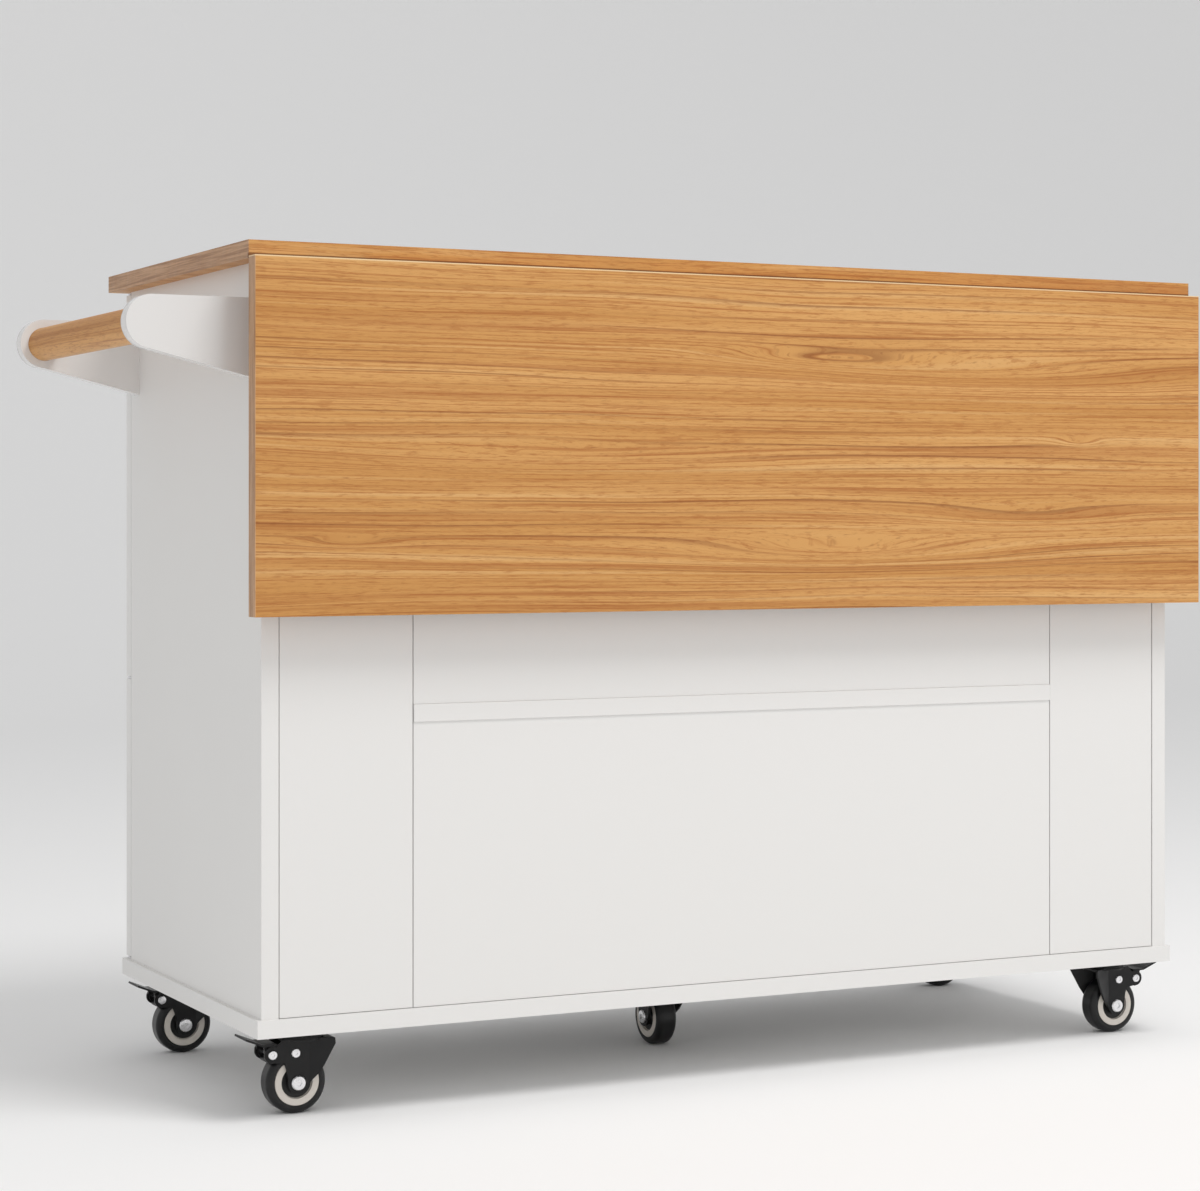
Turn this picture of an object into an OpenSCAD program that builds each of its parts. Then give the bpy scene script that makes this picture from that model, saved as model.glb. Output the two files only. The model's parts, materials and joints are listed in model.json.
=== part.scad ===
// Kitchen island cart: a painted cabinet on five casters, with a wooden worktop,
// a wooden drop leaf along the back, and a towel rail on the left side.
// X runs along the cart, Y from the leaf side (back) to the door side (front), Z up.
// Inside the modules X = 0 is the middle of the worktop and Y = 0 its back edge;
// in_frame() then moves everything to the middle of the whole box, on the floor.

/* [Worktop and leaf] */
// Length of the worktop and of the drop leaf
top_w = 1143; // [950:1:1400]
// Depth of the worktop
top_d = 471; // [390:1:570]
// Thickness of the worktop
top_t = 18; // [15:1:25]
// Height of the worktop's upper face above the floor
total_h = 870; // [720:1:1050]
// Thickness of the drop leaf
leaf_t = 18; // [15:1:25]
// Width of the drop leaf, from its hinge edge to its free edge
leaf_h = 352; // [290:1:425]
// Gap between the hanging leaf and the worktop's edge
leaf_gap = 1; // [0.8:0.1:2]

/* [Cabinet] */
// Overhang of the worktop past each side panel
side_overhang = 20; // [10:1:30]
// Overhang of the worktop past the side panels' back edges
back_overhang = 18; // [17:1:30]
// Overhang of the worktop past the door faces
front_overhang = 3; // [0:1:20]
// Thickness of the side panels, dividers, shelves and rails
board_t = 18; // [15:1:22]
// Thickness of the base board
base_t = 18; // [15:1:25]
// How far the base board stands out past each side panel
base_proud_side = 5; // [0:1:10]
// How far the base board stands out past the back
base_proud_back = 3; // [0:1:8]
// Clear width of each narrow side column
column_in = 134.5; // [100:0.5:200]
// Clear height of the centre bay below its fixed shelf
lower_bay_h = 288.5; // [230:0.5:350]
// Height of the drawer openings, top rail included
drawer_zone_h = 153; // [125:1:185]
// Thickness of the back panels
back_t = 5; // [3:0.5:8]
// Width of the visible seams between the back panels
seam = 1; // [0.4:0.1:2]
// Recess of the back panels behind the side panels' back edges
back_recess = 0.5; // [0.3:0.1:3]
// How far the back rail stands out past the back panels
rail_proud = 1.5; // [0.5:0.1:3]
// Width of the top rails and of the drawer rail
rail_w = 60; // [40:1:80]

/* [Doors and drawers] */
// Thickness of the doors and drawer fronts, with their air gap to the cabinet
front_t = 18; // [16:1:22]
// Gap between neighbouring doors and drawer fronts
reveal = 3; // [2.6:0.1:5]
// Thickness of the drawer box boards
box_t = 12; // [9:1:16]
// Thickness of the drawer bottoms
box_bottom_t = 5; // [3:0.5:8]
// Height of the drawer box sides
box_h = 96; // [70:1:110]
// Depth of the drawer boxes
box_d = 380; // [300:1:400]
// Gap that each pair of drawer runners fills
runner_gap = 13; // [12:0.5:16]
// Diameter of the round knobs
knob_d = 26; // [20:1:32]
// How far the knobs stand out from the fronts
knob_l = 24; // [18:1:30]

/* [Towel rail] */
// Diameter of the wooden rod
rod_d = 36; // [28:1:42]
// Distance of the rod's axis from the side panel
rod_out = 107; // [80:1:140]
// Height of the arm tips' centre below the worktop's upper face
arm_drop = 80.5; // [65:0.5:110]
// How far the rod's axis lies below the arm tips' centre
rod_drop = 0.5; // [0:0.5:6]
// Radius of the rounded arm tips
arm_tip_r = 26.5; // [22:0.5:32]
// Height of the arms where they meet the side panel
arm_root_h = 80; // [60:1:110]
// Thickness of the arms
arm_t = 18; // [15:1:25]
// Distance of each arm from the end of the side panel
arm_inset = 12; // [5:1:60]

/* [Casters] */
// Height of the base board's underside above the floor
caster_h = 86; // [84:1:100]
// Diameter of the wheels
wheel_d = 63.5; // [55:0.5:66]
// Width of the wheels
wheel_w = 24; // [20:1:28]
// Offset of the wheel axle from the swivel axis
trail = 8; // [6:1:20]
// Distance of the left casters' swivel axes from the base's left end
caster_in_left = 65; // [50:0.5:90]
// Distance of the right casters' swivel axes from the base's right end
caster_in_right = 54.5; // [50:0.5:90]
// Distance of the back casters' swivel axes from the base's back edge
caster_in_back = 55; // [45:1:80]
// Distance of the front casters' swivel axes from the base's front edge
caster_in_front = 37; // [34:1:80]
// How far the centre caster sits behind the middle of the base
centre_setback = 13; // [0:1:30]
// Diameter of the axles
axle_d = 8; // [6:0.5:10]

/* [Hidden] */

// Finishes
wood = [0.80, 0.60, 0.37];
paint = [0.91, 0.91, 0.90];
steel = [0.75, 0.76, 0.78];
black = [0.10, 0.10, 0.10];
rubber = [0.14, 0.14, 0.14];
core_colour = [0.84, 0.81, 0.77];

// Clearances
fit = 0.1;          // radial clearance of a fixed pin or screw in its hole
run_fit = 0.08;     // radial clearance of a turning pin in its bore
bond = 0.05;        // glue line between boards that are kept as separate solids
cut = 1;            // how far a cutter runs past the face it opens
fine = 48;          // facets named for small round shapes

// Cabinet levels and planes
under_top = total_h - top_t;
base_top = caster_h + base_t;
body_w = top_w - 2 * side_overhang;
base_w = body_w + 2 * base_proud_side;
back_y = back_overhang;
panel_y = back_y + back_recess;
inner_back_y = panel_y + back_t;
face_y = top_d - front_overhang;
carcass_y = face_y - front_t;
base_y0 = back_y - base_proud_back;
side_in = body_w / 2 - board_t;
divider_x = side_in - column_in - board_t / 2;
bay_in = divider_x - board_t / 2;
shelf_z = base_top + lower_bay_h;
column_shelf_z = shelf_z + board_t;
column_split_z = column_shelf_z + board_t / 2;
drawer_rail_z = under_top - drawer_zone_h;
drawer_split_z = drawer_rail_z - board_t / 2;

// Fronts: doors and drawer fronts lie over the cabinet's front edges
door_back_gap = 1;
door_y0 = carcass_y + door_back_gap;
front_low_z = base_top + reveal;
front_high_z = under_top - reveal;
half = reveal / 2;

// Door pivots: pins near the outer front corner of each door
pivot_in = 3;
pivot_depth = 4;
pivot_y = face_y - pivot_depth;
pivot_pin_d = 4;
pivot_pin_l = 5;
pivot_plate_t = 2;
pivot_plate_w = 34;
pivot_eye_r = 2.5;
pivot_tail = 30;
pivot_tongue = 15;
pivot_float = 0.3;
wall_gap = 0.5;
edge_gap = 0.2;
column_plate_z = column_split_z - pivot_plate_t / 2;
drawer_plate_z = drawer_split_z - pivot_plate_t / 2;
column_pivot_x = body_w / 2 - pivot_in;
centre_pivot_x = divider_x - half - pivot_in;

// Screws
screw_d = 5;
screw_head_d = 9;
screw_head_h = 3;
screw_bite = 30;
top_screw_bite = 12;
caster_screw_d = 4;
caster_screw_bite = 12;
caster_head_d = 8;
caster_head_h = 2.5;

// Leaf hinges: the pin line lies just inside the leaf's hinge edge
pin_in = 1;
pin_y = -leaf_gap - pin_in;
pin_z = total_h - leaf_t + pin_in;
leaf_top_z = pin_z + pin_in;
leaf_y1 = -leaf_gap;
leaf_y0 = -leaf_gap - leaf_t;
hinge_w = 60;
hinge_r = 2.5;
hinge_pin_r = 1.25;
hinge_leaf_t = 2;
hinge_fixed_d = 15;
hinge_moving_h = 26;
// The notches clear the knuckles and the inner corners of the plates' tabs, which turn about the pin
notch_clear = 0.4;
tab_corner_r = norm([pin_in + hinge_leaf_t, pin_in]);
notch_r = max(hinge_r, tab_corner_r) + notch_clear;
notch_side = 1;
knuckle_gap = 0.3;
hinge_xs = [for (k = [-1.5, -0.5, 0.5, 1.5]) k * top_w * 0.28];

// Leaf stays: bars folded down behind the leaf, pivoting on its inner face
stay_b = 125;
stay_pivot_off = 6;
stay_half = 5;
stay_w = 16;
stay_pin_d = 5;
catch_t = 3;
catch_gap = 0.4;
stay_pivot_y = leaf_y1 + stay_pivot_off;
stay_pivot_z = pin_z - stay_b;
// With the leaf raised, the bar leans at 45 degrees and its round foot meets the catch plate
stay_reach = panel_y - catch_t - catch_gap - stay_half - (pin_y - stay_b);
stay_l = stay_reach * sqrt(2);
foot_l = 14;
lug_t = 2;
lug_gap = 0.4;
catch_w = 36;
catch_h = 56;
catch_z = pin_z - (stay_pivot_y - pin_y) - stay_reach;

// Towel rail
arm_root_x = -body_w / 2;
tip_x = arm_root_x - rod_out;
tip_z = total_h - arm_drop;
rod_z = tip_z - rod_drop;
arm_ys = [back_y + arm_inset, carcass_y - arm_inset - arm_t];
rod_socket = 8;

// Drawers
drawer_in = bay_in - board_t / 2;
drawer_mid = board_t / 2 + drawer_in / 2;
box_w = drawer_in - 2 * runner_gap;
box_z0 = drawer_rail_z + 14;
box_y1 = door_y0 - bond;
runner_t = 5.5;
runner_z = box_z0 + 26;
slide_h = 18;
groove_up = 8;

// Casters, in the caster's own axes: swivel axis on Z, wheel towards +X
wheel_r = wheel_d / 2;
plate_w = 58;
plate_t = 3;
kingpin_r = 5;
race_r = 20;
race_h = 4;
fork_top_z = caster_h - 9.5;
sheet = 2.5;
wheel_side_gap = 1.5;
cheek_in = wheel_w / 2 + wheel_side_gap;
cheek_out = cheek_in + sheet;
fork_disc_r = 24;
arm_pivot = [27.3, 30.1];
arm_end_r = 8.5;
rivet_at = [2.9, 30.2];
boss_r = 11;
fold_x = -12;
flare = 25;
ring_out_r = wheel_r * 0.748;
ring_in_r = wheel_r * 0.504;
tyre_round = 6;
bolt_head_r = 7.5;
rivet_head_r = 4.7;
brake_pin_d = 5;
pedal_half_w = 17.5;
pedal_t = 2;
pedal_level = 10.2;
pedal_tip = [18.5, 7.4];
bar_r = 2.5;
bar_at = [1, -7];
lug_r = 6;
left_x = -base_w / 2 + caster_in_left;
right_x = base_w / 2 - caster_in_right;
back_caster_y = base_y0 + caster_in_back;
front_caster_y = face_y - caster_in_front;
centre_caster_y = (base_y0 + face_y) / 2 - centre_setback;
// Each caster: swivel axis x and y, and the turn of its wheel about that axis
back_left = [left_x, back_caster_y, 180];
front_left = [left_x, front_caster_y, 180];
back_right = [right_x, back_caster_y, 0];
front_right = [right_x, front_caster_y, 0];
centre = [0, centre_caster_y, 90];
casters = [back_left, front_left, back_right, front_right, centre];
plate_holes = [for (sx = [-1, 1], sy = [-1, 1]) [sx * plate_w * 0.37, sy * plate_w * 0.37]];

// Frame: the middle of the whole box, on the floor
frame_x = -(top_w / 2 + tip_x - arm_tip_r) / 2;
frame_y = -(face_y + knob_l + leaf_y0) / 2;

module in_frame() {
  translate([frame_x, frame_y, 0]) children();
}

// A box given by its two corners on each axis
module block(x, y, z) {
  translate([x[0], y[0], z[0]]) cube([x[1] - x[0], y[1] - y[0], z[1] - z[0]]);
}

// Left and right copies of what is drawn on the right
module both_sides() {
  children();
  mirror([1, 0, 0]) children();
}

// ---- screws and their holes ----

upright_xs = [-body_w / 2 + board_t / 2, -divider_x, divider_x, body_w / 2 - board_t / 2];
upright_ys = [inner_back_y + 40, carcass_y - 50];
base_screws = [for (x = upright_xs, y = upright_ys) [x, y]];
rail_screw_xs = [-bay_in * 0.8, 0, bay_in * 0.8];
rail_screw_ys = [inner_back_y + rail_w / 2, carcass_y - rail_w / 2];
arm_screw_zs = [tip_z + 8, tip_z - 34];

module screw(bite, gap = 0) {
  translate([0, 0, -gap]) cylinder(d1 = screw_head_d + 2 * gap, d2 = screw_d + 2 * gap,
                                   h = screw_head_h + gap, $fn = fine);
  cylinder(d = screw_d + 2 * gap, h = bite + gap, $fn = fine);
}

module base_screw_set(gap = 0) {
  for (p = base_screws) translate([p[0], p[1], caster_h]) screw(base_t + screw_bite, gap);
}

module rail_screw_set(gap = 0) {
  for (x = rail_screw_xs, y = rail_screw_ys)
    translate([x, y, under_top - board_t]) screw(board_t + top_screw_bite, gap);
}

module arm_screw_set(gap = 0) {
  for (y = arm_ys, z = arm_screw_zs)
    translate([-side_in, y + arm_t / 2, z]) rotate([0, -90, 0]) screw(board_t + screw_bite, gap);
}

// Round-headed screws up through the caster plates, or the holes for them
module caster_screw_set(gap = 0) {
  for (c = casters, p = plate_holes) translate([c[0] + p[0], c[1] + p[1], 0]) {
    translate([0, 0, caster_h - plate_t - gap])
      cylinder(d = caster_screw_d + 2 * gap, h = plate_t + caster_screw_bite + 2 * gap, $fn = fine);
    if (gap == 0) translate([0, 0, caster_h - plate_t - caster_head_h])
      cylinder(d = caster_head_d, h = caster_head_h, $fn = fine);
  }
}

module screws() {
  color(steel) in_frame() {
    base_screw_set();
    rail_screw_set();
    arm_screw_set();
    caster_screw_set();
  }
}

// ---- worktop and cabinet boards ----

module worktop() {
  color(wood) in_frame() difference() {
    block([-top_w / 2, top_w / 2], [0, top_d], [under_top, total_h]);
    hinge_notches();
    rail_screw_set(fit);
  }
}

module base_board() {
  color(paint) in_frame() difference() {
    block([-base_w / 2, base_w / 2], [base_y0, face_y], [caster_h, base_top]);
    base_screw_set(fit);
    caster_screw_set(fit);
  }
}

module side_board() {
  block([side_in, body_w / 2], [back_y, carcass_y], [base_top, under_top]);
}

module left_side_panel() {
  color(paint) in_frame() difference() {
    mirror([1, 0, 0]) side_board();
    base_screw_set(fit);
    arm_screw_set(fit);
  }
}

module right_side_panel() {
  color(paint) in_frame() difference() {
    side_board();
    base_screw_set(fit);
  }
}

module dividers() {
  color(paint) in_frame() difference() {
    both_sides() block([bay_in, bay_in + board_t], [inner_back_y, carcass_y], [base_top, under_top]);
    base_screw_set(fit);
  }
}

module centre_shelf() {
  color(paint) in_frame()
    block([-bay_in, bay_in], [inner_back_y, carcass_y], [shelf_z, column_shelf_z]);
}

module column_shelves() {
  color(paint) in_frame() difference() {
    both_sides() block([bay_in + board_t, side_in], [inner_back_y, carcass_y],
                       [column_shelf_z, column_shelf_z + board_t]);
    both_sides() pivot_plate(column_pivot_x, side_in, column_plate_z, pivot_tongue, fit);
  }
}

// Two top rails, the rail under the drawers and the post between them
module carcass_rails() {
  front_rail = [carcass_y - rail_w, carcass_y];
  color(paint) in_frame() difference() {
    union() {
      for (y = [[inner_back_y, inner_back_y + rail_w], front_rail])
        block([-bay_in, bay_in], y, [under_top - board_t, under_top]);
      block([-bay_in, bay_in], front_rail, [drawer_rail_z - board_t, drawer_rail_z]);
      block([-board_t / 2, board_t / 2], [inner_back_y + rail_w / 2, carcass_y],
            [drawer_rail_z + bond, under_top - board_t - bond]);
    }
    rail_screw_set(fit);
    both_sides() pivot_plate(centre_pivot_x, bay_in, drawer_plate_z, pivot_tongue, fit);
  }
}

// ---- back panels ----

module back_board(x, z) {
  color(paint) in_frame() block(x, [panel_y, inner_back_y], z);
}

back_low = base_top + seam / 2;
back_high = under_top - seam / 2;
column_back = [divider_x + seam / 2, side_in - seam];

module back_panel_left() {
  back_board([-column_back[1], -column_back[0]], [back_low, back_high]);
}

module back_panel_right() {
  back_board(column_back, [back_low, back_high]);
}

module back_panel_upper() {
  back_board([-divider_x + seam / 2, divider_x - seam / 2], [column_shelf_z + bond, back_high]);
}

module back_panel_lower() {
  back_board([-divider_x + seam / 2, divider_x - seam / 2], [back_low, shelf_z - bond]);
}

module back_rail() {
  color(paint) in_frame()
    block([-divider_x + seam / 2, divider_x - seam / 2], [panel_y - rail_proud, inner_back_y],
          [shelf_z, column_shelf_z]);
}

// ---- towel rail ----

// The point where a line from p touches the under side of a circle at c of radius r
function touch(p, c, r) =
  let (d = norm(p - c), along = atan2(p[1] - c[1], p[0] - c[0]), open = acos(r / d))
  c + r * [cos(along - open), sin(along - open)];

// An arm of thickness arm_t from y on: a round tip, a level top edge and a sloping lower edge
module arm_blank() {
  tip = [tip_x, tip_z];
  root_low = [arm_root_x, tip_z + arm_tip_r - arm_root_h];
  low = touch(root_low, tip, arm_tip_r - 0.2);
  top = tip_z + arm_tip_r - 0.1;
  translate([tip_x, tip_z, 0]) cylinder(r = arm_tip_r, h = arm_t, $fn = 96);
  linear_extrude(arm_t) polygon([[tip_x, top], [arm_root_x, top], root_low, low]);
}

module towel_arm(y, socket_y) {
  color(paint) in_frame() difference() {
    translate([0, y + arm_t, 0]) rotate([90, 0, 0]) arm_blank();
    translate([tip_x, socket_y, rod_z]) rotate([-90, 0, 0])
      cylinder(d = rod_d + 2 * fit, h = rod_socket + cut, $fn = 96);
    arm_screw_set(fit);
  }
}

module towel_rail_back_arm() {
  towel_arm(arm_ys[0], arm_ys[0] + arm_t - rod_socket);
}

module towel_rail_front_arm() {
  towel_arm(arm_ys[1], arm_ys[1] - cut);
}

module towel_rail_rod() {
  end_gap = 0.2;
  from = arm_ys[0] + arm_t - rod_socket + end_gap;
  to = arm_ys[1] + rod_socket - end_gap;
  color(wood) in_frame() translate([tip_x, from, rod_z]) rotate([-90, 0, 0])
    cylinder(d = rod_d, h = to - from, $fn = 96);
}

// ---- drop leaf, its hinges and its stays ----

module hinge_notches() {
  for (x = hinge_xs) translate([x - hinge_w / 2 - notch_side, pin_y, pin_z]) rotate([0, 90, 0])
    cylinder(r = notch_r, h = hinge_w + 2 * notch_side, $fn = fine);
}

module drop_leaf() {
  color(wood) in_frame() difference() {
    block([-top_w / 2, top_w / 2], [leaf_y0, leaf_y1], [leaf_top_z - leaf_h, leaf_top_z]);
    hinge_notches();
  }
}

module knuckle(x, length) {
  translate([x, pin_y, pin_z]) rotate([0, 90, 0]) cylinder(r = hinge_r, h = length, $fn = fine);
}

third = hinge_w / 3;

// Fixed half: a plate under the worktop, its two outer knuckles and the pin
module leaf_hinge_plates() {
  color(steel) in_frame() for (x = hinge_xs) {
    block([x - hinge_w / 2, x + hinge_w / 2], [hinge_r, hinge_fixed_d],
          [under_top - hinge_leaf_t, under_top]);
    for (s = [0, 2]) {
      block([x - hinge_w / 2 + s * third, x - hinge_w / 2 + (s + 1) * third], [pin_y, hinge_r + cut],
            [under_top - hinge_leaf_t, under_top - hinge_leaf_t + min(hinge_leaf_t, pin_in + 1)]);
      knuckle(x - hinge_w / 2 + s * third, third);
    }
    translate([x - hinge_w / 2, pin_y, pin_z]) rotate([0, 90, 0])
      cylinder(r = hinge_pin_r, h = hinge_w, $fn = fine);
  }
}

// Moving half: a plate on the leaf's inner face with the middle knuckle, and the stays' brackets
module leaf_hardware() {
  color(steel) in_frame() {
    for (x = hinge_xs) difference() {
      union() {
        block([x - hinge_w / 2, x + hinge_w / 2], [leaf_y1, leaf_y1 + hinge_leaf_t],
              [pin_z - hinge_moving_h, pin_z - hinge_r - 1]);
        block([x - third / 2 + knuckle_gap, x + third / 2 - knuckle_gap], [leaf_y1, leaf_y1 + hinge_leaf_t],
              [pin_z - hinge_r - 2, pin_z]);
        knuckle(x - third / 2 + knuckle_gap, third - 2 * knuckle_gap);
      }
      translate([x - hinge_w, pin_y, pin_z]) rotate([0, 90, 0])
        cylinder(r = hinge_pin_r + run_fit, h = 2 * hinge_w, $fn = fine);
    }
    both_sides() stay_bracket();
  }
}

module stay_bracket() {
  inner = stay_w / 2 + lug_gap;
  translate([divider_x, 0, 0]) {
    block([-inner - lug_t, inner + lug_t], [leaf_y1, leaf_y1 + 0.6], [stay_pivot_z - 14, stay_pivot_z + 22]);
    for (s = [-1, 1]) translate([s * (inner + lug_t / 2) - lug_t / 2, 0, 0]) {
      block([0, lug_t], [leaf_y1, stay_pivot_y], [stay_pivot_z - 5, stay_pivot_z + 18]);
      translate([0, stay_pivot_y, stay_pivot_z]) rotate([0, 90, 0]) cylinder(r = 5, h = lug_t, $fn = fine);
    }
    translate([-inner, stay_pivot_y, stay_pivot_z]) rotate([0, 90, 0])
      cylinder(d = stay_pin_d, h = 2 * inner, $fn = fine);
  }
}

// A bar with a rubber foot on its free end
module leaf_stay(side) {
  in_frame() translate([side * divider_x - stay_w / 2, stay_pivot_y, stay_pivot_z]) {
    color(steel) difference() {
      union() {
        rotate([0, 90, 0]) cylinder(r = stay_half, h = stay_w, $fn = fine);
        block([0, stay_w], [-stay_half, stay_half], [-stay_l + foot_l, 0]);
      }
      translate([-cut, 0, 0]) rotate([0, 90, 0])
        cylinder(d = stay_pin_d + 2 * run_fit, h = stay_w + 2 * cut, $fn = fine);
    }
    color(rubber) {
      translate([0, 0, -stay_l]) rotate([0, 90, 0]) cylinder(r = stay_half, h = stay_w, $fn = fine);
      block([0, stay_w], [-stay_half, stay_half], [-stay_l, -stay_l + foot_l - bond]);
    }
  }
}

module left_leaf_stay() {
  leaf_stay(-1);
}

module right_leaf_stay() {
  leaf_stay(1);
}

module stay_catch_plates() {
  color(steel) in_frame() both_sides()
    block([divider_x - catch_w / 2, divider_x + catch_w / 2], [panel_y - catch_t, panel_y],
          [catch_z - catch_h / 2, catch_z + catch_h / 2]);
}

// ---- doors ----

// A flat plate in the gap between fronts, from z0 up. Its front part carries the pivot at x;
// its tail, tail_l long, lies inside the upright whose inner face is at wall.
module pivot_plate(x, wall, z0, tail_l, gap = 0) {
  h = pivot_plate_t + 2 * gap;
  z = [z0 - gap, z0 - gap + h];
  block([x - pivot_plate_w - gap, wall - wall_gap + gap], [carcass_y - tail_l - gap, carcass_y + 1], z);
  if (gap == 0) {
    block([x - pivot_plate_w, x + pivot_eye_r], [carcass_y + edge_gap, pivot_y], z);
    translate([x, pivot_y, z0]) cylinder(r = pivot_eye_r, h = h, $fn = fine);
  }
}

// A pivot pin through the plate at z0, standing out of its lower face, upper face or both
module pivot_pin(x, z0, down, up) {
  low = z0 - (down ? pivot_pin_l : 0);
  high = z0 + pivot_plate_t + (up ? pivot_pin_l : 0);
  translate([x, pivot_y, low]) cylinder(d = pivot_pin_d, h = high - low, $fn = fine);
}

module door_pivot_plates() {
  color(steel) in_frame() both_sides() {
    pivot_plate(column_pivot_x, side_in, base_top, pivot_tail);
    pivot_pin(column_pivot_x, base_top, false, true);
    pivot_plate(column_pivot_x, side_in, under_top - pivot_plate_t, pivot_tail);
    pivot_pin(column_pivot_x, under_top - pivot_plate_t, true, false);
    pivot_plate(column_pivot_x, side_in, column_plate_z, pivot_tongue);
    pivot_pin(column_pivot_x, column_plate_z, true, true);
    pivot_plate(centre_pivot_x, bay_in, base_top, pivot_tail);
    pivot_pin(centre_pivot_x, base_top, false, true);
    pivot_plate(centre_pivot_x, bay_in, drawer_plate_z, pivot_tongue);
    pivot_pin(centre_pivot_x, drawer_plate_z, true, false);
  }
}

module knob(x, z) {
  translate([x, face_y, z]) rotate([-90, 0, 0]) rotate_extrude($fn = 64)
    polygon([[0, bond], [knob_d * 0.26, bond], [knob_d * 0.2, knob_l * 0.25], [knob_d * 0.2, knob_l * 0.45],
             [knob_d * 0.46, knob_l * 0.62], [knob_d / 2, knob_l * 0.75], [knob_d * 0.46, knob_l * 0.92],
             [knob_d * 0.36, knob_l], [0, knob_l]]);
}

// A door between x[0] and x[1], z[0] and z[1], with its pivot at pivot_x and a knob
module door(x, z, pivot_x, knob_at) {
  depth = pivot_pin_l + pivot_float;
  in_frame() {
    color(paint) difference() {
      block(x, [door_y0, face_y], z);
      for (end = [z[0] - cut, z[1] - depth])
        translate([pivot_x, pivot_y, end])
          cylinder(d = pivot_pin_d + 2 * run_fit, h = depth + cut, $fn = fine);
    }
    color(black) knob(knob_at[0], knob_at[1]);
  }
}

column_x = [divider_x + half, body_w / 2];
centre_x = [half, divider_x - half];
knob_in = 26;

module left_door() {
  door([-centre_x[1], -centre_x[0]], [front_low_z, drawer_split_z - half], -centre_pivot_x,
       [-centre_x[0] - knob_in, drawer_split_z - 70]);
}

module right_door() {
  door(centre_x, [front_low_z, drawer_split_z - half], centre_pivot_x,
       [centre_x[0] + knob_in, drawer_split_z - 70]);
}

module column_door(side, z, knob_z) {
  x = side > 0 ? column_x : [-column_x[1], -column_x[0]];
  door(x, z, side * column_pivot_x, [side * (column_x[0] + knob_in), knob_z]);
}

column_high = [column_split_z + half, front_high_z];
column_low = [front_low_z, column_split_z - half];

module left_upper_column_door() {
  column_door(-1, column_high, column_split_z + 60);
}

module left_lower_column_door() {
  column_door(-1, column_low, column_split_z - 60);
}

module right_upper_column_door() {
  column_door(1, column_high, column_split_z + 60);
}

module right_lower_column_door() {
  column_door(1, column_low, column_split_z - 60);
}

// ---- drawers ----

module drawer_front(side) {
  x = side > 0 ? centre_x : [-centre_x[1], -centre_x[0]];
  in_frame() {
    color(paint) block(x, [door_y0, face_y], [drawer_split_z + half, front_high_z]);
    color(black) knob(side * drawer_mid, (drawer_split_z + front_high_z) / 2);
  }
}

module left_drawer_front() {
  drawer_front(-1);
}

module right_drawer_front() {
  drawer_front(1);
}

// Two sides, a back, an inner front and a bottom let into grooves, with the runners' slides
module drawer_box(side) {
  x0 = side * drawer_mid - box_w / 2;
  x1 = x0 + box_w;
  y0 = box_y1 - box_d;
  z1 = box_z0 + box_h;
  groove = [box_z0 + groove_up - bond, box_z0 + groove_up + box_bottom_t + bond];
  in_frame() {
    color(wood) difference() {
      union() {
        block([x0, x0 + box_t], [y0, box_y1], [box_z0, z1]);
        block([x1 - box_t, x1], [y0, box_y1], [box_z0, z1]);
        for (y = [y0, box_y1 - box_t])
          block([x0 + box_t + bond, x1 - box_t - bond], [y, y + box_t], [box_z0, z1]);
      }
      block([x0 + box_t / 2 - bond, x1 - box_t / 2 + bond],
            [y0 + box_t / 2 - bond, box_y1 - box_t / 2 + bond], groove);
    }
    color(wood) block([x0 + box_t / 2, x1 - box_t / 2], [y0 + box_t / 2, box_y1 - box_t / 2],
                      [groove[0] + bond, groove[1] - bond]);
    color(steel) for (x = [x0 - runner_t - bond, x1 + bond])
      block([x, x + runner_t], [y0, box_y1 - box_t], [runner_z, runner_z + slide_h]);
  }
}

module left_drawer_box() {
  drawer_box(-1);
}

module right_drawer_box() {
  drawer_box(1);
}

// C-shaped rails on the dividers and the post, which the drawers' slides run in
module runner(x, open) {
  wall = 1.5;
  play = 0.5;
  z0 = runner_z - play - wall;
  z1 = runner_z + slide_h + play + wall;
  depth = runner_gap - runner_t - play;
  difference() {
    block([min(x, x + open * (depth + 3)), max(x, x + open * (depth + 3))],
          [box_y1 - box_d, carcass_y - 2], [z0, z1]);
    translate([open * wall, 0, 0])
      block([min(x, x + open * (depth + 3)), max(x, x + open * (depth + 3))],
            [box_y1 - box_d - cut, carcass_y], [z0 + wall, z1 - wall]);
  }
}

module drawer_runners() {
  color(steel) in_frame() both_sides() {
    runner(board_t / 2, 1);
    runner(bay_in, -1);
  }
}

// ---- casters ----

module at_caster(c) {
  in_frame() translate([c[0], c[1], 0]) rotate([0, 0, c[2]]) children();
}

// Work on the wheel's side plane: x towards the trail side, y up, from the axle
module on_cheek(y) {
  translate([trail, y, wheel_r]) rotate([90, 0, 0]) children();
}

module caster_plates() {
  color(black) for (c = casters) in_frame() translate([c[0], c[1], 0]) {
    difference() {
      translate([-plate_w / 2, -plate_w / 2, caster_h - plate_t]) cube([plate_w, plate_w, plate_t]);
      translate([-c[0], -c[1], 0]) caster_screw_set(fit);
    }
    translate([0, 0, caster_h - plate_t - race_h]) cylinder(r = race_r, h = race_h, $fn = 64);
    translate([0, 0, fork_top_z - sheet - 1]) cylinder(r = kingpin_r, h = 8, $fn = fine);
    translate([0, 0, fork_top_z - sheet - 4]) cylinder(r = 8, h = 3.5, $fn = fine);
  }
}

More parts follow.
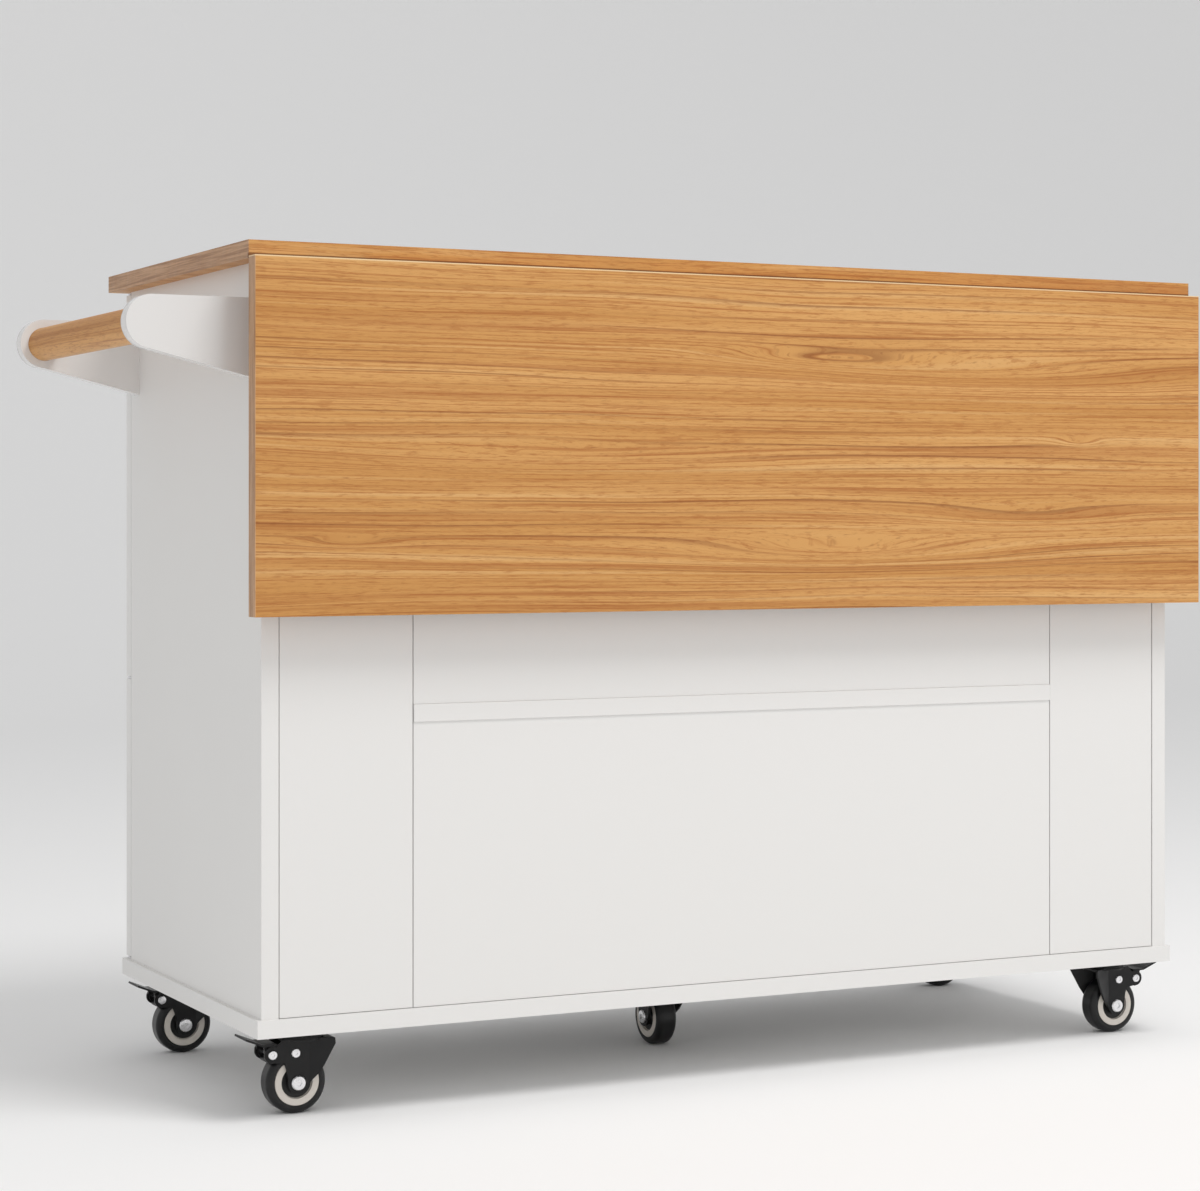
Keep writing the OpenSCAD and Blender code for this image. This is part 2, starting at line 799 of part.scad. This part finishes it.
module cheek_outline() {
  top = fork_top_z - wheel_r;
  p = arm_pivot;
  circle(r = boss_r, $fn = 64);
  translate(p) circle(r = arm_end_r, $fn = 64);
  polygon([[-boss_r + 0.4, -2], [fold_x, 5], [fold_x, top], [16, top], [22, p[1] + arm_end_r - 0.3],
           [p[0] + 1, p[1] + arm_end_r - 0.3], p, [p[0] - 1, p[1] - arm_end_r + 0.3], [15, 20.4],
           [12.4, 14], [boss_r - 0.3, 1.5], [0, 0]]);
}

module flange_outline() {
  top = fork_top_z - wheel_r;
  polygon([[-1.3, -3], [3, 2], [10, 9], [15.5, 17.5], [26.5, top - 6], [26, top - 0.4],
           [-1.3, top - 0.4]]);
}

module fork(c) {
  top = fork_top_z - wheel_r;
  color(black) at_caster(c) difference() {
    union() {
      for (s = [-1, 1]) {
        on_cheek(s > 0 ? cheek_out : -cheek_in) linear_extrude(sheet) cheek_outline();
        translate([trail + fold_x, s * (cheek_in + sheet / 2), wheel_r]) rotate([0, 0, 180 - s * flare])
          rotate([90, 0, 0]) translate([0, 0, -sheet / 2]) linear_extrude(sheet) flange_outline();
      }
      translate([0, 0, fork_top_z - sheet]) cylinder(r = fork_disc_r, h = sheet, $fn = 96);
      translate([0, 0, fork_top_z - sheet]) linear_extrude(sheet)
        polygon([[trail + fold_x, -cheek_out], [trail + fold_x - 23, -cheek_out - 10],
                 [trail + fold_x - 23, cheek_out + 10], [trail + fold_x, cheek_out],
                 [trail + 16, cheek_out], [trail + 16, -cheek_out]]);
      translate([0, 0, fork_top_z - cut]) difference() {
        cylinder(r = fork_disc_r - 0.5, h = 6, $fn = 96);
        translate([0, 0, -cut]) cylinder(r = race_r + 1, h = 9, $fn = 96);
      }
    }
    translate([0, 0, fork_top_z - 2 * sheet]) cylinder(r = kingpin_r + run_fit, h = 3 * sheet, $fn = fine);
    on_cheek(cheek_out + cut) cylinder(d = axle_d + 2 * fit, h = 2 * (cheek_out + cut), $fn = fine);
    for (p = [arm_pivot, rivet_at]) on_cheek(cheek_out + cut) translate(p)
      cylinder(d = brake_pin_d + 2 * fit, h = 2 * (cheek_out + cut), $fn = fine);
  }
}

// A low domed head with a six-sided socket, its base on z = 0
module socket_head(r) {
  difference() {
    rotate_extrude($fn = 64) polygon([[0, 0], [r, 0], [r, r * 0.16], [r * 0.88, r * 0.34], [0, r * 0.42]]);
    translate([0, 0, r * 0.2]) cylinder(r = r * 0.42, h = r, $fn = 6);
  }
}

// What stands out of one cheek, drawn on the near one and mirrored to the other
module on_both_cheeks() {
  for (side = [0, 1]) mirror([0, side, 0]) on_cheek(-cheek_out) children();
}

// The axle bolt through both cheeks, the brake pivot pin and the rivets above the axle
module axle(c, braked = true) {
  rivets = braked ? [rivet_at] : [rivet_at, arm_pivot];
  color(steel) at_caster(c) {
    on_cheek(cheek_out) cylinder(d = axle_d, h = 2 * cheek_out, $fn = fine);
    if (braked) on_cheek(cheek_out) translate(arm_pivot)
      cylinder(d = brake_pin_d, h = 2 * cheek_out, $fn = fine);
    on_both_cheeks() {
      socket_head(bolt_head_r);
      for (p = [arm_pivot, rivet_at]) translate(p) socket_head(rivet_head_r);
      for (p = rivets) translate([p[0], p[1], -sheet]) cylinder(d = brake_pin_d, h = sheet, $fn = fine);
    }
  }
}

// A moulded core: raised ring, sunk web and a hub boss with the axle bore
module wheel_core(c) {
  w = wheel_w / 2;
  rim = ring_out_r;
  color(core_colour) at_caster(c) on_cheek(0) rotate_extrude($fn = 96)
    polygon([[axle_d / 2 + run_fit, -w - 0.9], [8.5, -w - 0.9], [9.5, -w + 3], [ring_in_r, -w + 3],
             [ring_in_r + 0.6, -w - 0.1], [rim - 0.6, -w - 0.1], [rim, -w + 1],
             [rim, w - 1], [rim - 0.6, w + 0.1], [ring_in_r + 0.6, w + 0.1],
             [ring_in_r, w - 3], [9.5, w - 3], [8.5, w + 0.9], [axle_d / 2 + run_fit, w + 0.9]]);
}

// Half of the tyre's section, with rounded shoulders
function shoulder(cx, cy, r, from, to) =
  [for (k = [0:6]) let (a = from + (to - from) * k / 6) [cx + r * cos(a), cy + r * sin(a)]];

module tyre(c) {
  w = wheel_w / 2;
  in_r = ring_out_r + bond;
  color(rubber) at_caster(c) on_cheek(0) rotate_extrude($fn = 96)
    polygon(concat([[in_r, w]],
          [for (p = shoulder(wheel_r - tyre_round, w - tyre_round, tyre_round, 90, 0)) p],
                   [for (p = shoulder(wheel_r - tyre_round, -w + tyre_round, tyre_round, 0, -90)) p],
                   [[in_r, -w]]));
}

// A bent foot plate with two lugs on the brake pin and a bar that nears the tyre
module pedal(c) {
  p = arm_pivot;
  under = p[1] + arm_end_r + 0.4;
  bend = p[0] + pedal_level;
  tip = [bend + pedal_tip[0], under + pedal_tip[1]];
  lug_out = cheek_in - 0.5;
  lug_t = 2.5;
  color(black) at_caster(c) difference() {
    union() {
      on_cheek(pedal_half_w) linear_extrude(2 * pedal_half_w)
        polygon([[p[0] - 4.5, under], [bend, under], tip, tip + [-0.8, pedal_t],
                 [bend - 0.5, under + pedal_t], [p[0] - 4.5, under + pedal_t]]);
      for (y = [lug_out, -lug_out + lug_t]) on_cheek(y) linear_extrude(lug_t) {
        translate(p) circle(r = lug_r, $fn = fine);
        polygon([p + [-4, 0], p + [lug_r, 0], [p[0] + lug_r + 3, under + 1], [p[0] - 4, under + 1]]);
        translate(p + bar_at) circle(r = bar_r, $fn = fine);
      }
      on_cheek(lug_out) translate(p + bar_at) cylinder(r = bar_r, h = 2 * lug_out, $fn = fine);
    }
    on_cheek(cheek_in) translate(p) cylinder(d = brake_pin_d + 2 * run_fit, h = 2 * cheek_in, $fn = fine);
  }
}

worktop();
base_board();
left_side_panel();
right_side_panel();
dividers();
centre_shelf();
column_shelves();
carcass_rails();
back_panel_left();
back_panel_right();
back_panel_upper();
back_panel_lower();
back_rail();
towel_rail_back_arm();
towel_rail_front_arm();
towel_rail_rod();
screws();
leaf_hinge_plates();
stay_catch_plates();
caster_plates();
drawer_runners();
door_pivot_plates();
drop_leaf();
leaf_hardware();
left_leaf_stay();
right_leaf_stay();
left_door();
right_door();
left_upper_column_door();
left_lower_column_door();
right_upper_column_door();
right_lower_column_door();
left_drawer_front();
right_drawer_front();
left_drawer_box();
right_drawer_box();
fork(back_left);  // back_left_fork
axle(back_left);  // back_left_axle
wheel_core(back_left);  // back_left_wheel_core
tyre(back_left);  // back_left_tyre
pedal(back_left);  // back_left_pedal
fork(front_left);  // front_left_fork
axle(front_left);  // front_left_axle
wheel_core(front_left);  // front_left_wheel_core
tyre(front_left);  // front_left_tyre
pedal(front_left);  // front_left_pedal
fork(back_right);  // back_right_fork
axle(back_right);  // back_right_axle
wheel_core(back_right);  // back_right_wheel_core
tyre(back_right);  // back_right_tyre
pedal(back_right);  // back_right_pedal
fork(front_right);  // front_right_fork
axle(front_right);  // front_right_axle
wheel_core(front_right);  // front_right_wheel_core
tyre(front_right);  // front_right_tyre
pedal(front_right);  // front_right_pedal
fork(centre);  // centre_fork
axle(centre, braked = false);  // centre_axle
wheel_core(centre);  // centre_wheel_core
tyre(centre);  // centre_tyre
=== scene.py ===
"""Looks of the kitchen island cart: wooden worktop and drop leaf, white painted cabinet, black casters.

Lengths are in metres. X runs along the cart, Y from the leaf's side to the doors, Z up.
"""

import json
import math

import bpy
import numpy as np
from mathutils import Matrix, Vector


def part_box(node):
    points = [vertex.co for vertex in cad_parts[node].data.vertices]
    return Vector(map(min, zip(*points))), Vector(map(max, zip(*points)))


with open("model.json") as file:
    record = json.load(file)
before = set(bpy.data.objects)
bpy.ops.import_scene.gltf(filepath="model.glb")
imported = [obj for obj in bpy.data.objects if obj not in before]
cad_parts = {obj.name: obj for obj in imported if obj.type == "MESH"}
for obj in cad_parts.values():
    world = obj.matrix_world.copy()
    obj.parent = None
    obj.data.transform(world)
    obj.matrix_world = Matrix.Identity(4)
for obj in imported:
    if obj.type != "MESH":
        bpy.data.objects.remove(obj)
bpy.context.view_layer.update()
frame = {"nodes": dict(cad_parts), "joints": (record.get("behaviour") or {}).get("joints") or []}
nodes = frame["nodes"]


# ---- node tree helpers -------------------------------------------------------

class Shader:
    """A small wrapper that adds and links shader nodes of one material."""

    def __init__(self, name):
        self.material = bpy.data.materials.new(name)
        self.material.use_nodes = True
        self.tree = self.material.node_tree
        self.bsdf = next(n for n in self.tree.nodes if n.type == "BSDF_PRINCIPLED")

    def add(self, kind, inputs=None, **settings):
        """A node of this kind; settings are its properties, inputs its sockets by name or number."""
        node = self.tree.nodes.new(kind)
        for key, value in settings.items():
            setattr(node, key, value)
        for key, value in (inputs or {}).items():
            self.put(node, key, value)
        return node

    def put(self, node, key, value):
        """Gives a socket a constant, or links another node's output to it."""
        if isinstance(value, bpy.types.NodeSocket):
            self.tree.links.new(value, node.inputs[key])
        else:
            node.inputs[key].default_value = value

    def math(self, operation, a, b=0.0, c=0.0):
        node = self.add("ShaderNodeMath", {0: a, 1: b, 2: c}, operation=operation)
        return node.outputs[0]

    def ramp(self, value, low, high, to_low=0.0, to_high=1.0, smooth=True):
        """value taken from the span low..high to the span to_low..to_high, and held at its ends."""
        node = self.add("ShaderNodeMapRange", {"Value": value, "From Min": low, "From Max": high,
                                               "To Min": to_low, "To Max": to_high},
                        interpolation_type="SMOOTHSTEP" if smooth else "LINEAR")
        return node.outputs["Result"]

    def noise(self, vector, scale, detail=3.0, roughness=0.5, distortion=0.0):
        node = self.add("ShaderNodeTexNoise", {"Vector": vector, "Scale": scale, "Detail": detail,
                                               "Roughness": roughness, "Distortion": distortion})
        return node.outputs["Fac"]

    def mix(self, factor, a, b, blend="MIX"):
        node = self.add("ShaderNodeMix", data_type="RGBA", blend_type=blend, clamp_factor=True)
        self.put(node, 0, factor)
        self.put(node, 6, a if isinstance(a, bpy.types.NodeSocket) else (*a, 1.0))
        self.put(node, 7, b if isinstance(b, bpy.types.NodeSocket) else (*b, 1.0))
        return node.outputs[2]

    def object_point(self):
        """The surface point in the object's own axes, which are the cart's axes."""
        return self.add("ShaderNodeTexCoord").outputs["Object"]

    def axes(self, point):
        parts = self.add("ShaderNodeSeparateXYZ", {"Vector": point})
        return parts.outputs["X"], parts.outputs["Y"], parts.outputs["Z"]

    def point(self, x, y, z):
        return self.add("ShaderNodeCombineXYZ", {"X": x, "Y": y, "Z": z}).outputs[0]

    def bump(self, height, strength, distance):
        node = self.add("ShaderNodeBump", {"Strength": strength, "Distance": distance, "Height": height})
        self.put(self.bsdf, "Normal", node.outputs["Normal"])

    def surface(self, **inputs):
        for key, value in inputs.items():
            name = key.replace("_", " ")
            if isinstance(value, tuple) and len(value) == 3:
                value = (*value, 1.0)
            self.put(self.bsdf, name, value)
        return self.material


def linear(r, g, b):
    """A display colour, 0 to 255, as linear light."""
    def one(v):
        v /= 255.0
        return v / 12.92 if v <= 0.04045 else ((v + 0.055) / 1.055) ** 2.4
    return one(r), one(g), one(b)


# ---- wood --------------------------------------------------------------------

WOOD_LIGHT = linear(218, 164, 99)
WOOD_MID = linear(202, 145, 79)
WOOD_DARK = linear(168, 100, 44)
WOOD_LINE = linear(126, 68, 28)

# Cathedral figures of the leaf: middle x and z, half length, half height, strength, in metres
LEAF_FIGURES = [(0.33, 0.757, 0.26, 0.020, 0.021), (0.10, 0.768, 0.12, 0.010, 0.011),
                (0.14, 0.560, 0.26, 0.018, 0.020), (-0.42, 0.574, 0.050, 0.006, 0.0085),
                (0.46, 0.684, 0.030, 0.006, 0.0075), (0.40, 0.600, 0.14, 0.014, 0.012),
                (-0.15, 0.660, 0.22, 0.016, 0.009)]


# Lengths of the wooden boards' end bands, of the painted arris highlight and of the painted joint shade, in
# metres
END_BAND = 0.0009
ARRIS_HIGHLIGHT = (0.0016, 0.0009)
JOINT_SHADE = (0.0058, 0.0048)
JOINT_DEPTH = 0.002


def ring_height(s, x, across, through, figures, seed):
    """The growth-ring height h, whose level lines are the grain.

    h is the distance across the board, plus a slow noise, plus one bell-shaped hump for each
    figure: where a hump is about as steep as the board's own slope the level lines bunch and
    close into the pointed arches of flat-sawn wood.
    """
    slow = s.noise(s.point(s.math("MULTIPLY", x, 1.0), s.math("MULTIPLY", through, 2.0),
                           s.math("MULTIPLY", across, 6.0)), 1.0, detail=2.0)
    wave = s.noise(s.point(s.math("MULTIPLY", x, 4.0), s.math("MULTIPLY", through, 5.0),
                           s.math("MULTIPLY", across, 18.0)), 1.0, detail=2.0)
    h = s.math("ADD", across, s.math("MULTIPLY", slow, 0.040))
    h = s.math("ADD", h, s.math("MULTIPLY", wave, 0.0030))
    h = s.math("ADD", h, s.math("MULTIPLY", through, 0.45))
    for fx, fz, half_x, half_z, strength in figures:
        u = s.math("DIVIDE", s.math("SUBTRACT", x, fx + seed), half_x)
        v = s.math("DIVIDE", s.math("SUBTRACT", across, fz), half_z)
        square = s.math("ADD", s.math("MULTIPLY", u, u), s.math("MULTIPLY", v, v))
        hump = s.math("EXPONENT", s.math("MULTIPLY", square, -1.0))
        h = s.math("ADD", h, s.math("MULTIPLY", hump, strength))
    return h


def end_banding(s, base, x, across, through, ends, seed):
    """Lays a strip, with its grain along the short edge, over the board's two ends."""
    middle, reach = (ends[0] + ends[1]) / 2 + seed, (ends[1] - ends[0]) / 2
    from_middle = s.math("ABSOLUTE", s.math("SUBTRACT", x, middle))
    band = s.math("GREATER_THAN", from_middle, reach - END_BAND)
    strip = s.noise(s.point(0.0, s.math("MULTIPLY", across, 7.0), s.math("MULTIPLY", through, 420.0)),
                    1.0, detail=4.0, roughness=0.62)
    strip_fine = s.noise(s.point(0.0, s.math("MULTIPLY", across, 40.0), s.math("MULTIPLY", through, 1500.0)),
                         1.0, detail=3.0, roughness=0.6)
    tone = s.mix(s.ramp(strip, 0.36, 0.66), linear(205, 165, 128), linear(160, 118, 84))
    tone = s.mix(s.math("MULTIPLY", s.ramp(strip_fine, 0.5, 0.7), 0.35), tone, linear(128, 90, 60))
    return s.mix(band, base, tone)


def wood(name, figures=(), seed=0.0, roughness=0.40, flat="Z", ends=None, arris=None, joint=None,
         along="X"):
    """Flat-sawn board with its grain along X, or along Y where along says so.

    Streaks, pores and dark late-wood lines are all noise of the growth-ring height, stretched
    along the grain, so they follow the same arches.
    flat names the axis across the board's broad face. ends is the lowest and highest X of the
    board: its two ends are banded with a strip whose grain runs along the board's short edge.
    arris is the height of an upper arris: just under it a pale band is painted as the highlight
    where the rounded arris catches the light. joint is the lowest height and the back of an edge
    that stands behind another board: a dark band is painted there as the shade under that board.
    """
    s = Shader(name)
    x, y, z = s.axes(s.object_point())
    if along == "Y":
        x, y = y, x
    across, through = (z, y) if flat == "Z" else (y, z)
    x = s.math("ADD", x, seed)
    h = ring_height(s, x, across, through, figures, seed)

    def grain(along, over, depth, detail, rough):
        return s.noise(s.point(s.math("MULTIPLY", x, along), s.math("MULTIPLY", through, depth),
                               s.math("MULTIPLY", h, over)), 1.0, detail=detail, roughness=rough)

    tone = grain(0.6, 24.0, 12.0, 3.0, 0.55)
    streak = grain(0.7, 120.0, 50.0, 3.0, 0.60)
    fine = grain(2.6, 480.0, 200.0, 4.0, 0.70)
    dashes = grain(48.0, 640.0, 300.0, 3.0, 0.65)
    pores = grain(70.0, 1700.0, 900.0, 2.0, 0.6)
    warp = grain(0.7, 18.0, 6.0, 2.0, 0.5)
    place = grain(1.1, 30.0, 12.0, 2.0, 0.5)
    ring = s.math("FRACT", s.math("ADD", s.math("MULTIPLY", h, 84.0), s.math("MULTIPLY", warp, 3.6)))
    line = s.math("MULTIPLY", s.ramp(ring, 0.74, 0.95), s.ramp(ring, 1.0, 0.965))
    line = s.math("MULTIPLY", line, s.ramp(place, 0.42, 0.64, 0.06, 1.0))
    base = s.mix(s.ramp(tone, 0.36, 0.64), WOOD_MID, WOOD_LIGHT)
    base = s.mix(s.math("MULTIPLY", s.ramp(streak, 0.50, 0.68), 0.46), base, WOOD_DARK)
    base = s.mix(s.math("MULTIPLY", s.ramp(streak, 0.45, 0.31), 0.50), base, linear(229, 184, 124))
    base = s.mix(s.math("MULTIPLY", s.ramp(fine, 0.51, 0.63), 0.62), base, WOOD_DARK)
    base = s.mix(s.math("MULTIPLY", s.ramp(dashes, 0.52, 0.66), 0.46), base, WOOD_DARK)
    base = s.mix(s.math("MULTIPLY", line, 0.62), base, WOOD_LINE)
    base = s.mix(s.math("MULTIPLY", s.ramp(pores, 0.54, 0.72), 0.36), base, WOOD_LINE)
    if ends:
        base = end_banding(s, base, x, across, through, ends, seed)
    # Painted highlight: a pale cream band just under the upper arris, where the rounded edge catches the
    # light.
    if arris:
        arris_highlight = s.ramp(z, arris - ARRIS_HIGHLIGHT[0], arris - ARRIS_HIGHLIGHT[1])
        base = s.mix(s.math("MULTIPLY", arris_highlight, 0.75), base, linear(246, 220, 176))
    # Painted shade: a dark brown band at the bottom of the back edge, where it stands in shadow behind the
    # hanging leaf.
    if joint:
        dark = s.math("MULTIPLY", s.ramp(z, joint[0] + JOINT_SHADE[0], joint[0] + JOINT_SHADE[1]),
                      s.math("LESS_THAN", y, joint[1] + JOINT_DEPTH))
        base = s.mix(s.math("MULTIPLY", dark, 0.75), base, linear(96, 56, 28))
    relief = s.math("SUBTRACT", s.math("MULTIPLY", fine, 0.5), s.math("MULTIPLY", pores, 0.5))
    s.bump(relief, 0.10, 0.0003)
    return s.surface(Base_Color=base, Roughness=s.ramp(streak, 0.3, 0.7, roughness, roughness + 0.1),
                     Specular_IOR_Level=0.35)


# ---- paint, metal, rubber, plastic -------------------------------------------

def paint(name, colour, roughness, coat=0.0):
    """Sprayed paint: an even colour with a faint orange-peel ripple."""
    s = Shader(name)
    p = s.object_point()
    peel = s.noise(p, 260.0, detail=2.0)
    s.bump(peel, 0.05, 0.0002)
    cloud = s.ramp(s.noise(p, 9.0), 0.3, 0.7, roughness, roughness + 0.06)
    return s.surface(Base_Color=colour, Roughness=cloud, Coat_Weight=coat, Coat_Roughness=0.12,
                     Specular_IOR_Level=0.45)


def black_metal(name):
    """Black coated pressed steel with a fine grain."""
    s = Shader(name)
    p = s.object_point()
    s.bump(s.noise(p, 1500.0, detail=2.0), 0.12, 0.0001)
    cloud = s.ramp(s.noise(p, 60.0), 0.3, 0.7, 0.30, 0.42)
    return s.surface(Base_Color=linear(21, 21, 22), Roughness=cloud, Specular_IOR_Level=0.30)


def bright_metal(name, colour, roughness):
    s = Shader(name)
    p = s.object_point()
    worn = s.noise(p, 300.0, detail=3.0)
    return s.surface(Base_Color=colour, Metallic=1.0,
                     Roughness=s.ramp(worn, 0.3, 0.7, roughness, roughness + 0.12))


def rubber(name):
    s = Shader(name)
    p = s.object_point()
    s.bump(s.noise(p, 900.0, detail=2.0), 0.08, 0.0001)
    cloud = s.ramp(s.noise(p, 40.0), 0.3, 0.7, 0.28, 0.40)
    return s.surface(Base_Color=linear(24, 24, 25), Roughness=cloud, Specular_IOR_Level=0.38)


def wheel_core_material(name, axle, spin, ring_in):
    """Cream ring with a black hub inside it, split by the distance from the axle.

    spin is 'Y' or 'X', the direction of the axle; the distance is taken in the plane across it.
    """
    s = Shader(name)
    x, y, z = s.axes(s.object_point())
    across = s.math("SUBTRACT", x, axle[0]) if spin == "Y" else s.math("SUBTRACT", y, axle[1])
    up = s.math("SUBTRACT", z, axle[2])
    r = s.math("SQRT", s.math("ADD", s.math("MULTIPLY", across, across), s.math("MULTIPLY", up, up)))
    ring = s.ramp(r, ring_in - 0.00015, ring_in + 0.00015)
    colour = s.mix(ring, linear(22, 22, 22), linear(226, 219, 210))
    return s.surface(Base_Color=colour, Roughness=0.5)


def two_tone(name, axis, at, low, high, centre=0.0, fold=False):
    """Two finishes in one node, split by a plane across one axis.

    low and high are (colour, roughness, metallic). With fold the distance from centre is compared.
    """
    s = Shader(name)
    value = s.axes(s.object_point())["XYZ".index(axis)]
    if fold:
        value = s.math("ABSOLUTE", s.math("SUBTRACT", value, centre))
    side = s.math("GREATER_THAN", value, at)
    return s.surface(Base_Color=s.mix(side, low[0], high[0]),
                     Roughness=s.ramp(side, 0.0, 1.0, low[1], high[1]),
                     Metallic=s.ramp(side, 0.0, 1.0, low[2], high[2]), Specular_IOR_Level=0.45)


WHITE = linear(235, 234, 232)
BLACK = linear(34, 34, 35)
ZINC = linear(214, 214, 216)

# Where a node's two finishes meet, in metres
KNOB_LENGTH = 0.02395
STAY_FOOT = 0.019
SLIDE_THICKNESS = 0.0056
HUB_RADIUS = 0.0158

wood_top = wood("wood_worktop", [(-0.25, -0.05, 0.22, 0.018, 0.03), (0.30, 0.10, 0.25, 0.02, 0.032),
                                 (0.05, 0.0, 0.12, 0.01, 0.015)], seed=3.1, flat="Y",
                ends=(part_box("worktop")[0].x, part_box("worktop")[1].x),
                joint=(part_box("worktop")[0].z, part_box("worktop")[0].y))
wood_leaf = wood("wood_leaf", LEAF_FIGURES, ends=(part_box("drop_leaf")[0].x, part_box("drop_leaf")[1].x),
                 arris=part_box("drop_leaf")[1].z)
wood_rod = wood("wood_rod", seed=7.3, roughness=0.45, along="Y")
white_board = paint("white_board", WHITE, 0.38)
white_gloss = paint("white_gloss", linear(231, 229, 227), 0.20, coat=0.6)
black_steel = black_metal("black_steel")
zinc = bright_metal("zinc", linear(236, 236, 238), 0.18)
tyre_rubber = rubber("tyre_rubber")
front_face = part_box("left_door")[1].y - KNOB_LENGTH
front_finish = two_tone("front_and_knob", "Y", front_face, (WHITE, 0.42, 0.0), (BLACK, 0.34, 0.0))
stay_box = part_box("left_leaf_stay")
stay_finish = two_tone("stay_and_foot", "Z", stay_box[0].z + STAY_FOOT, (BLACK, 0.6, 0.0), (ZINC, 0.25, 1.0))


def drawer_finish(name):
    """Board with bright slides on its two sides."""
    low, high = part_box(name)
    slide = (high.x - low.x) / 2 - SLIDE_THICKNESS
    return two_tone(name + "_board", "X", slide, (linear(226, 202, 164), 0.5, 0.0), (ZINC, 0.25, 1.0),
                    centre=(high.x + low.x) / 2, fold=True)


# ---- dress the CAD nodes -----------------------------------------------------

def rounded(obj, width, segments=3, angle=30.0):
    """Breaks every sharp arris of a node by this width."""
    weld = obj.modifiers.new("weld", "WELD")
    weld.merge_threshold = 0.00002
    bevel = obj.modifiers.new("arris", "BEVEL")
    bevel.width = width
    bevel.segments = segments
    bevel.limit_method = "ANGLE"
    bevel.angle_limit = math.radians(angle)
    bevel.use_clamp_overlap = True
    bevel.harden_normals = True


def dress(name, material, width=0.0, segments=3):
    obj = nodes[name]
    obj.data.materials.clear()
    obj.data.materials.append(material)
    if width:
        rounded(obj, width, segments)
    return obj


# Width of the broken arris on each white board, in metres
BOARDS = {"base_board": 0.0022, "left_side_panel": 0.0008, "right_side_panel": 0.0008,
          "dividers": 0.0006, "centre_shelf": 0.0006, "column_shelves": 0.0006,
          "carcass_rails": 0.0006, "back_rail": 0.0006, "back_panel_left": 0.0004,
          "back_panel_right": 0.0004, "back_panel_upper": 0.0004, "back_panel_lower": 0.0004}

for node_name in nodes:
    if node_name in ("worktop", "drop_leaf"):
        dress(node_name, wood_top if node_name == "worktop" else wood_leaf, 0.0014)
    elif node_name == "towel_rail_rod":
        dress(node_name, wood_rod)
    elif node_name in BOARDS:
        dress(node_name, white_board, BOARDS[node_name])
    elif node_name.startswith("towel_rail"):
        dress(node_name, white_gloss, 0.0014)
    elif node_name.endswith("door") or node_name.endswith("drawer_front"):
        dress(node_name, front_finish, 0.0012)
    elif node_name.endswith("drawer_box"):
        dress(node_name, drawer_finish(node_name), 0.0006)
    elif node_name.endswith("leaf_stay"):
        dress(node_name, stay_finish)
    elif node_name.endswith(("_fork", "_pedal")):
        dress(node_name, black_steel, 0.0006, 2)
    elif node_name == "caster_plates":
        dress(node_name, black_steel)
    elif node_name.endswith("_tyre"):
        dress(node_name, tyre_rubber)
    elif node_name.endswith("_wheel_core"):
        pass
    else:
        dress(node_name, zinc)

joint_at = {j["name"]: j for j in frame["joints"]}
for corner in ("back_left", "front_left", "back_right", "front_right", "centre"):
    joint = joint_at[corner + "_wheel_spin"]
    spin = "X" if abs(joint["axis"][0]) > 0.5 else "Y"
    dress(corner + "_wheel_core", wheel_core_material(corner + "_core", joint["pos_m"], spin, HUB_RADIUS))


# ---- floor, light, camera ----------------------------------------------------

def plain(name, colour, roughness):
    s = Shader(name)
    return s.surface(Base_Color=colour, Roughness=roughness, Specular_IOR_Level=0.2)


def backdrop():
    """A floor that turns up into a wall: a straight run in Y, a quarter circle, then a straight rise."""
    turn = np.linspace(0.0, math.pi / 2, 33)
    start, radius = 5.0, 3.0
    y = np.concatenate(([-14.0], start + radius * np.sin(turn), [start + radius]))
    z = np.concatenate(([0.0], radius * (1.0 - np.cos(turn)), [12.0]))
    x = np.array([-16.0, 16.0])
    verts = np.array([(a, b, c) for a in x for b, c in zip(y, z)])
    n = len(y)
    faces = [(i, n + i, n + i + 1, i + 1) for i in range(n - 1)]
    mesh = bpy.data.meshes.new("floor")
    mesh.from_pydata(verts.tolist(), [], faces)
    mesh.polygons.foreach_set("use_smooth", [True] * len(faces))
    obj = bpy.data.objects.new("floor", mesh)
    bpy.context.scene.collection.objects.link(obj)
    mesh.materials.append(plain("floor_paper", (0.93, 0.93, 0.93), 0.9))
    return obj


backdrop()

world = bpy.data.worlds.new("studio")
bpy.context.scene.world = world
world.use_nodes = True
world.node_tree.nodes["Background"].inputs["Color"].default_value = (1.0, 1.0, 1.0, 1.0)
world.node_tree.nodes["Background"].inputs["Strength"].default_value = 0.66


def softbox(name, at, toward, size, power, colour=(1.0, 1.0, 1.0)):
    """A square area light of this size at a point, facing another point."""
    data = bpy.data.lights.new(name, "AREA")
    data.shape = "SQUARE"
    data.size = size
    data.energy = power
    data.color = colour
    lamp = bpy.data.objects.new(name, data)
    bpy.context.scene.collection.objects.link(lamp)
    lamp.location = at
    lamp.rotation_euler = (Vector(toward) - Vector(at)).to_track_quat("-Z", "Y").to_euler()
    return lamp


softbox("key", (0.7, -1.9, 3.7), (0.0, 0.0, 0.4), 1.5, 67.0, (1.0, 0.988, 0.978))

camera_data = bpy.data.cameras.new("camera")
camera_data.sensor_width = 36.0
camera_data.lens = 84.08
camera_data.shift_y = -0.0617
camera = bpy.data.objects.new("camera", camera_data)
bpy.context.scene.collection.objects.link(camera)
camera.location = (-1.4251, -2.8339, 0.5950)
camera.rotation_euler = (math.radians(90.0), 0.0, math.radians(-26.47))
bpy.context.scene.camera = camera

view = bpy.context.scene.view_settings
view.view_transform = "Standard"
view.look = "None"
